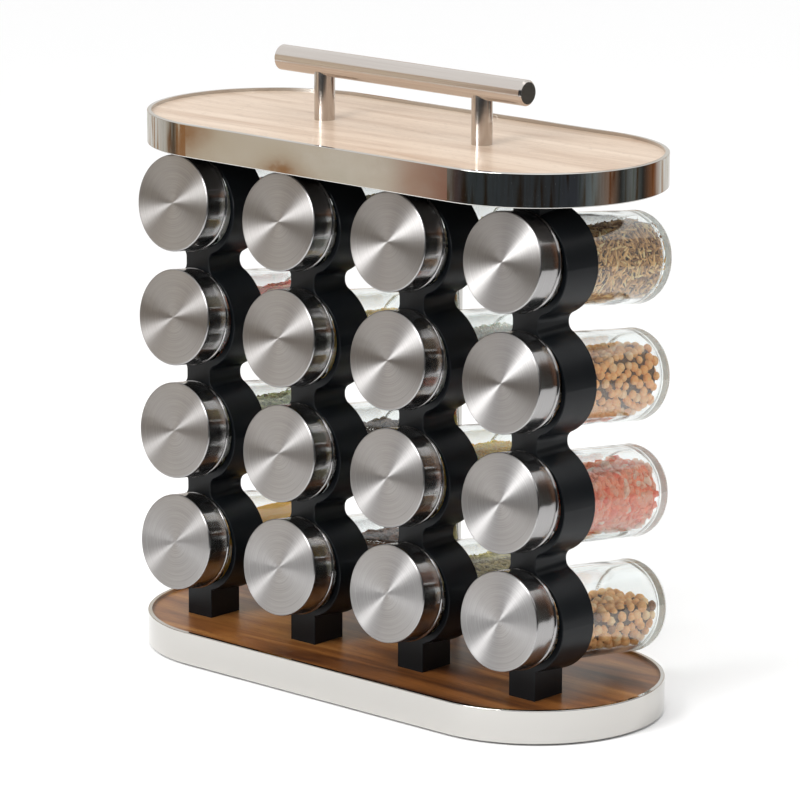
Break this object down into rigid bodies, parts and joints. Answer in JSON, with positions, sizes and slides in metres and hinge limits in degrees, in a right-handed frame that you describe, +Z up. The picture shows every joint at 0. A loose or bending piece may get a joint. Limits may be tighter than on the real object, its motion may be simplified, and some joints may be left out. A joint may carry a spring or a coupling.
{
  "type": "spice carousel",
  "caption": "Countertop spice rack on a low swivel: glass jars with steel lids lie in black ring columns between two wood plates in steel bands, with a bar handle.",
  "frame": {"origin": "on the table under the centre of the plates", "axes": "+Z up, X along the row of columns, the jar lids face -Y"},
  "size_m": [0.2868, 0.1226, 0.2931],
  "materials": {
    "pad_rubber": "matt black anti-slip rubber",
    "swivel_steel": "zinc-plated pressed steel",
    "bearing_steel": "hardened bearing balls",
    "screw_steel": "zinc-plated screws",
    "backing_board": "dark fibreboard backing",
    "polished_steel": "mirror-polished stainless steel",
    "bamboo_dark": "satin lacquered brown wood",
    "bamboo_light": "satin lacquered wood",
    "black_plastic": "satin black moulded plastic",
    "handle_steel": "fine brushed stainless steel",
    "jar_glass": "clear glass, faintly green where thick",
    "lid_steel": "stainless steel, face spun with a circular brush"
  },
  "bodies": {
    "turntable_foot": {"swivel_pad": "pad_rubber", "swivel_lower_plate": "swivel_steel", "swivel_balls": "bearing_steel", "swivel_pin": "swivel_steel"},
    "rack": {"swivel_upper_plate": "swivel_steel", "swivel_screws": "screw_steel", "base_board": "backing_board", "base_band": "polished_steel", "base_inlay": "bamboo_dark", "base_screws": "screw_steel", "column_1": "black_plastic", "column_2": "black_plastic", "column_3": "black_plastic", "column_4": "black_plastic", "top_board": "backing_board", "top_band": "polished_steel", "top_inlay": "bamboo_light", "top_screws": "screw_steel", "handle_post_left": "handle_steel", "handle_post_right": "handle_steel", "handle_bar": "handle_steel", "handle_screws": "screw_steel"},
    "jar_row4_column1": {"jar_row4_column1": "jar_glass"},
    "lid_row4_column1": {"lid_row4_column1": "lid_steel"},
    "jar_row4_column2": {"jar_row4_column2": "jar_glass"},
    "lid_row4_column2": {"lid_row4_column2": "lid_steel"},
    "jar_row4_column3": {"jar_row4_column3": "jar_glass"},
    "lid_row4_column3": {"lid_row4_column3": "lid_steel"},
    "jar_row4_column4": {"jar_row4_column4": "jar_glass"},
    "lid_row4_column4": {"lid_row4_column4": "lid_steel"},
    "jar_row3_column1": {"jar_row3_column1": "jar_glass"},
    "lid_row3_column1": {"lid_row3_column1": "lid_steel"},
    "jar_row3_column2": {"jar_row3_column2": "jar_glass"},
    "lid_row3_column2": {"lid_row3_column2": "lid_steel"},
    "jar_row3_column3": {"jar_row3_column3": "jar_glass"},
    "lid_row3_column3": {"lid_row3_column3": "lid_steel"},
    "jar_row3_column4": {"jar_row3_column4": "jar_glass"},
    "lid_row3_column4": {"lid_row3_column4": "lid_steel"},
    "jar_row2_column1": {"jar_row2_column1": "jar_glass"},
    "lid_row2_column1": {"lid_row2_column1": "lid_steel"},
    "jar_row2_column2": {"jar_row2_column2": "jar_glass"},
    "lid_row2_column2": {"lid_row2_column2": "lid_steel"},
    "jar_row2_column3": {"jar_row2_column3": "jar_glass"},
    "lid_row2_column3": {"lid_row2_column3": "lid_steel"},
    "jar_row2_column4": {"jar_row2_column4": "jar_glass"},
    "lid_row2_column4": {"lid_row2_column4": "lid_steel"},
    "jar_row1_column1": {"jar_row1_column1": "jar_glass"},
    "lid_row1_column1": {"lid_row1_column1": "lid_steel"},
    "jar_row1_column2": {"jar_row1_column2": "jar_glass"},
    "lid_row1_column2": {"lid_row1_column2": "lid_steel"},
    "jar_row1_column3": {"jar_row1_column3": "jar_glass"},
    "lid_row1_column3": {"lid_row1_column3": "lid_steel"},
    "jar_row1_column4": {"jar_row1_column4": "jar_glass"},
    "lid_row1_column4": {"lid_row1_column4": "lid_steel"}
  },
  "joints": [
    {"name": "turntable_turn", "type": "hinge", "parent": "turntable_foot", "child": "rack", "pos_m": [0, 0, 0], "axis": [0, 0, 1], "continuous": true},
    {"name": "jar_row4_column1_slide", "type": "slide", "parent": "rack", "child": "jar_row4_column1", "axis": [0, -0.9925, 0.1219], "range_m": [0, 0.085]},
    {"name": "lid_row4_column1_lift", "type": "slide", "parent": "jar_row4_column1", "child": "lid_row4_column1", "axis": [0, -0.9925, 0.1219], "range_m": [0, 0.03]},
    {"name": "jar_row4_column2_slide", "type": "slide", "parent": "rack", "child": "jar_row4_column2", "axis": [0, -0.9925, 0.1219], "range_m": [0, 0.085]},
    {"name": "lid_row4_column2_lift", "type": "slide", "parent": "jar_row4_column2", "child": "lid_row4_column2", "axis": [0, -0.9925, 0.1219], "range_m": [0, 0.03]},
    {"name": "jar_row4_column3_slide", "type": "slide", "parent": "rack", "child": "jar_row4_column3", "axis": [0, -0.9925, 0.1219], "range_m": [0, 0.085]},
    {"name": "lid_row4_column3_lift", "type": "slide", "parent": "jar_row4_column3", "child": "lid_row4_column3", "axis": [0, -0.9925, 0.1219], "range_m": [0, 0.03]},
    {"name": "jar_row4_column4_slide", "type": "slide", "parent": "rack", "child": "jar_row4_column4", "axis": [0, -0.9925, 0.1219], "range_m": [0, 0.085]},
    {"name": "lid_row4_column4_lift", "type": "slide", "parent": "jar_row4_column4", "child": "lid_row4_column4", "axis": [0, -0.9925, 0.1219], "range_m": [0, 0.03]},
    {"name": "jar_row3_column1_slide", "type": "slide", "parent": "rack", "child": "jar_row3_column1", "axis": [0, -0.9925, 0.1219], "range_m": [0, 0.085]},
    {"name": "lid_row3_column1_lift", "type": "slide", "parent": "jar_row3_column1", "child": "lid_row3_column1", "axis": [0, -0.9925, 0.1219], "range_m": [0, 0.03]},
    {"name": "jar_row3_column2_slide", "type": "slide", "parent": "rack", "child": "jar_row3_column2", "axis": [0, -0.9925, 0.1219], "range_m": [0, 0.085]},
    {"name": "lid_row3_column2_lift", "type": "slide", "parent": "jar_row3_column2", "child": "lid_row3_column2", "axis": [0, -0.9925, 0.1219], "range_m": [0, 0.03]},
    {"name": "jar_row3_column3_slide", "type": "slide", "parent": "rack", "child": "jar_row3_column3", "axis": [0, -0.9925, 0.1219], "range_m": [0, 0.085]},
    {"name": "lid_row3_column3_lift", "type": "slide", "parent": "jar_row3_column3", "child": "lid_row3_column3", "axis": [0, -0.9925, 0.1219], "range_m": [0, 0.03]},
    {"name": "jar_row3_column4_slide", "type": "slide", "parent": "rack", "child": "jar_row3_column4", "axis": [0, -0.9925, 0.1219], "range_m": [0, 0.085]},
    {"name": "lid_row3_column4_lift", "type": "slide", "parent": "jar_row3_column4", "child": "lid_row3_column4", "axis": [0, -0.9925, 0.1219], "range_m": [0, 0.03]},
    {"name": "jar_row2_column1_slide", "type": "slide", "parent": "rack", "child": "jar_row2_column1", "axis": [0, -0.9925, 0.1219], "range_m": [0, 0.085]},
    {"name": "lid_row2_column1_lift", "type": "slide", "parent": "jar_row2_column1", "child": "lid_row2_column1", "axis": [0, -0.9925, 0.1219], "range_m": [0, 0.03]},
    {"name": "jar_row2_column2_slide", "type": "slide", "parent": "rack", "child": "jar_row2_column2", "axis": [0, -0.9925, 0.1219], "range_m": [0, 0.085]},
    {"name": "lid_row2_column2_lift", "type": "slide", "parent": "jar_row2_column2", "child": "lid_row2_column2", "axis": [0, -0.9925, 0.1219], "range_m": [0, 0.03]},
    {"name": "jar_row2_column3_slide", "type": "slide", "parent": "rack", "child": "jar_row2_column3", "axis": [0, -0.9925, 0.1219], "range_m": [0, 0.085]},
    {"name": "lid_row2_column3_lift", "type": "slide", "parent": "jar_row2_column3", "child": "lid_row2_column3", "axis": [0, -0.9925, 0.1219], "range_m": [0, 0.03]},
    {"name": "jar_row2_column4_slide", "type": "slide", "parent": "rack", "child": "jar_row2_column4", "axis": [0, -0.9925, 0.1219], "range_m": [0, 0.085]},
    {"name": "lid_row2_column4_lift", "type": "slide", "parent": "jar_row2_column4", "child": "lid_row2_column4", "axis": [0, -0.9925, 0.1219], "range_m": [0, 0.03]},
    {"name": "jar_row1_column1_slide", "type": "slide", "parent": "rack", "child": "jar_row1_column1", "axis": [0, -0.9925, 0.1219], "range_m": [0, 0.085]},
    {"name": "lid_row1_column1_lift", "type": "slide", "parent": "jar_row1_column1", "child": "lid_row1_column1", "axis": [0, -0.9925, 0.1219], "range_m": [0, 0.03]},
    {"name": "jar_row1_column2_slide", "type": "slide", "parent": "rack", "child": "jar_row1_column2", "axis": [0, -0.9925, 0.1219], "range_m": [0, 0.085]},
    {"name": "lid_row1_column2_lift", "type": "slide", "parent": "jar_row1_column2", "child": "lid_row1_column2", "axis": [0, -0.9925, 0.1219], "range_m": [0, 0.03]},
    {"name": "jar_row1_column3_slide", "type": "slide", "parent": "rack", "child": "jar_row1_column3", "axis": [0, -0.9925, 0.1219], "range_m": [0, 0.085]},
    {"name": "lid_row1_column3_lift", "type": "slide", "parent": "jar_row1_column3", "child": "lid_row1_column3", "axis": [0, -0.9925, 0.1219], "range_m": [0, 0.03]},
    {"name": "jar_row1_column4_slide", "type": "slide", "parent": "rack", "child": "jar_row1_column4", "axis": [0, -0.9925, 0.1219], "range_m": [0, 0.085]},
    {"name": "lid_row1_column4_lift", "type": "slide", "parent": "jar_row1_column4", "child": "lid_row1_column4", "axis": [0, -0.9925, 0.1219], "range_m": [0, 0.03]}
  ]
}
